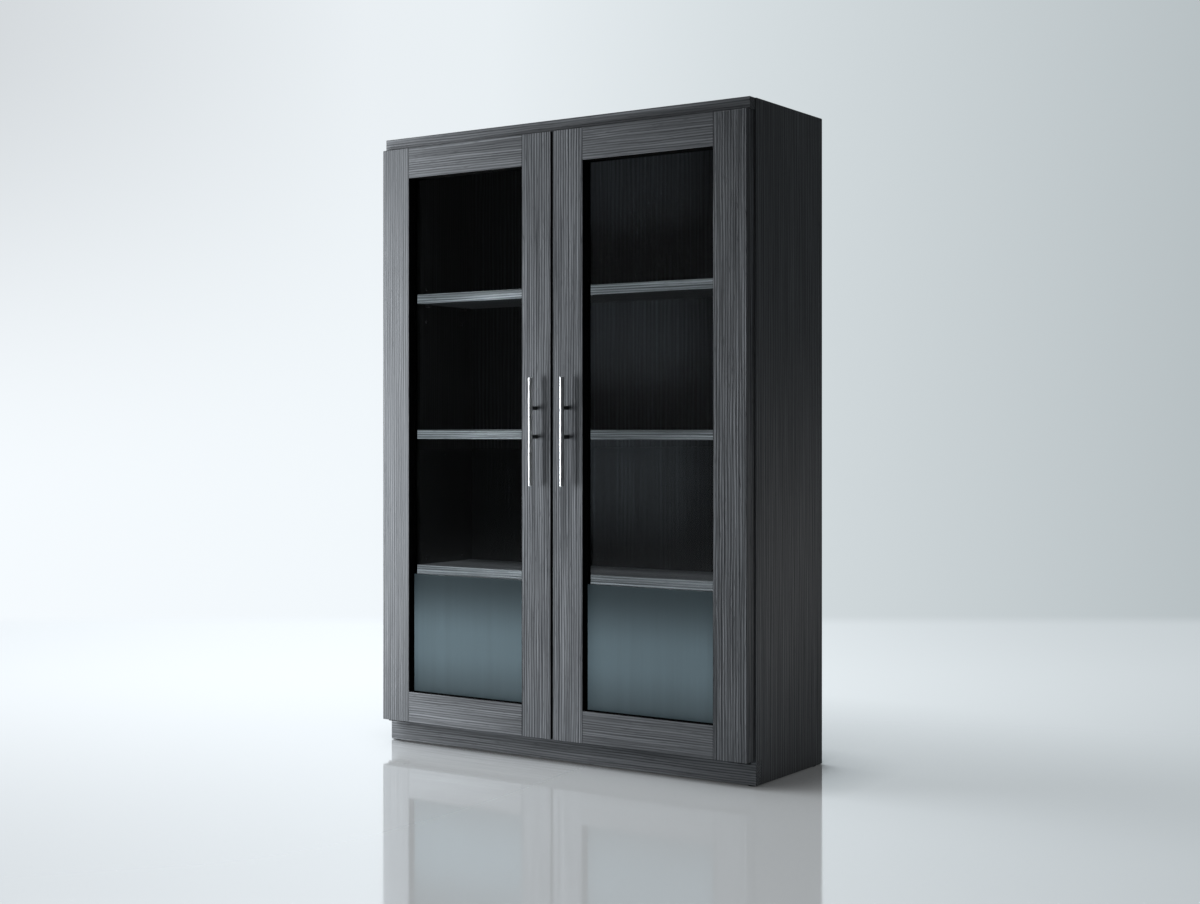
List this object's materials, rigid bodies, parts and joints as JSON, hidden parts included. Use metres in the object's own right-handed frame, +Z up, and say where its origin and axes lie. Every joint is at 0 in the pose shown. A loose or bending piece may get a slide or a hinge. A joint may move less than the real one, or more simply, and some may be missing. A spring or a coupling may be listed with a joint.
{
  "type": "display cabinet",
  "caption": "Tall free-standing display cabinet in dark brushed wood decor, with framed glass doors on pivot hinges, upright bar handles and shelves behind the glass.",
  "frame": {"origin": "on the floor under the middle of the cabinet's box, handles included", "axes": "+Z up, front with the doors towards -Y, +X to the right seen from the front"},
  "size_m": [0.8, 0.29, 1.15],
  "materials": {
    "decor": "charcoal wire-brushed wood-grain decor, satin",
    "clear_glass": "clear float glass, faintly grey",
    "frosted_glass": "satin frosted glass, blue-grey",
    "polished_steel": "polished bright",
    "black_steel": "black satin coat",
    "zinc_steel": "zinc plated",
    "black_rubber": "matt black",
    "black_nylon": "matt black"
  },
  "bodies": {
    "cabinet": {"left_side_panel": "decor", "right_side_panel": "decor", "top_panel": "decor", "top_fascia": "decor", "bottom_panel": "decor", "plinth_board": "decor", "rear_plinth_rail": "decor", "back_panel": "decor", "upper_shelf": "decor", "middle_shelf": "decor", "lower_shelf": "decor", "upper_shelf_front_left_pin": "zinc_steel", "upper_shelf_front_right_pin": "zinc_steel", "upper_shelf_rear_left_pin": "zinc_steel", "upper_shelf_rear_right_pin": "zinc_steel", "lower_shelf_front_left_pin": "zinc_steel", "lower_shelf_front_right_pin": "zinc_steel", "lower_shelf_rear_left_pin": "zinc_steel", "lower_shelf_rear_right_pin": "zinc_steel", "front_left_glide": "black_nylon", "front_right_glide": "black_nylon", "rear_left_glide": "black_nylon", "rear_right_glide": "black_nylon", "left_lower_pivot_bracket": "black_steel", "right_lower_pivot_bracket": "black_steel", "left_upper_pivot_bush": "black_nylon", "right_upper_pivot_bush": "black_nylon", "magnetic_catch": "black_nylon"},
    "left_door": {"left_door_hinge_stile": "decor", "left_door_handle_stile": "decor", "left_door_top_rail": "decor", "left_door_bottom_rail": "decor", "left_door_clear_pane": "clear_glass", "left_door_frosted_pane": "frosted_glass", "left_door_glazing_gasket": "black_rubber", "left_door_handle_bar": "polished_steel", "left_door_upper_handle_post": "black_steel", "left_door_lower_handle_post": "black_steel", "left_door_upper_handle_screw": "zinc_steel", "left_door_lower_handle_screw": "zinc_steel", "left_door_upper_pivot_pin": "zinc_steel", "left_door_lower_pivot_bush": "black_nylon", "left_door_strike_plate": "zinc_steel"},
    "right_door": {"right_door_hinge_stile": "decor", "right_door_handle_stile": "decor", "right_door_top_rail": "decor", "right_door_bottom_rail": "decor", "right_door_clear_pane": "clear_glass", "right_door_frosted_pane": "frosted_glass", "right_door_glazing_gasket": "black_rubber", "right_door_handle_bar": "polished_steel", "right_door_upper_handle_post": "black_steel", "right_door_lower_handle_post": "black_steel", "right_door_upper_handle_screw": "zinc_steel", "right_door_lower_handle_screw": "zinc_steel", "right_door_upper_pivot_pin": "zinc_steel", "right_door_lower_pivot_bush": "black_nylon", "right_door_strike_plate": "zinc_steel"}
  },
  "joints": [
    {"name": "left_door_hinge", "type": "hinge", "parent": "cabinet", "child": "left_door", "pos_m": [-0.3905, -0.107, 0.585], "axis": [0, 0, -1], "range_deg": [0, 105]},
    {"name": "right_door_hinge", "type": "hinge", "parent": "cabinet", "child": "right_door", "pos_m": [0.3905, -0.107, 0.585], "axis": [0, 0, 1], "range_deg": [0, 105]}
  ]
}
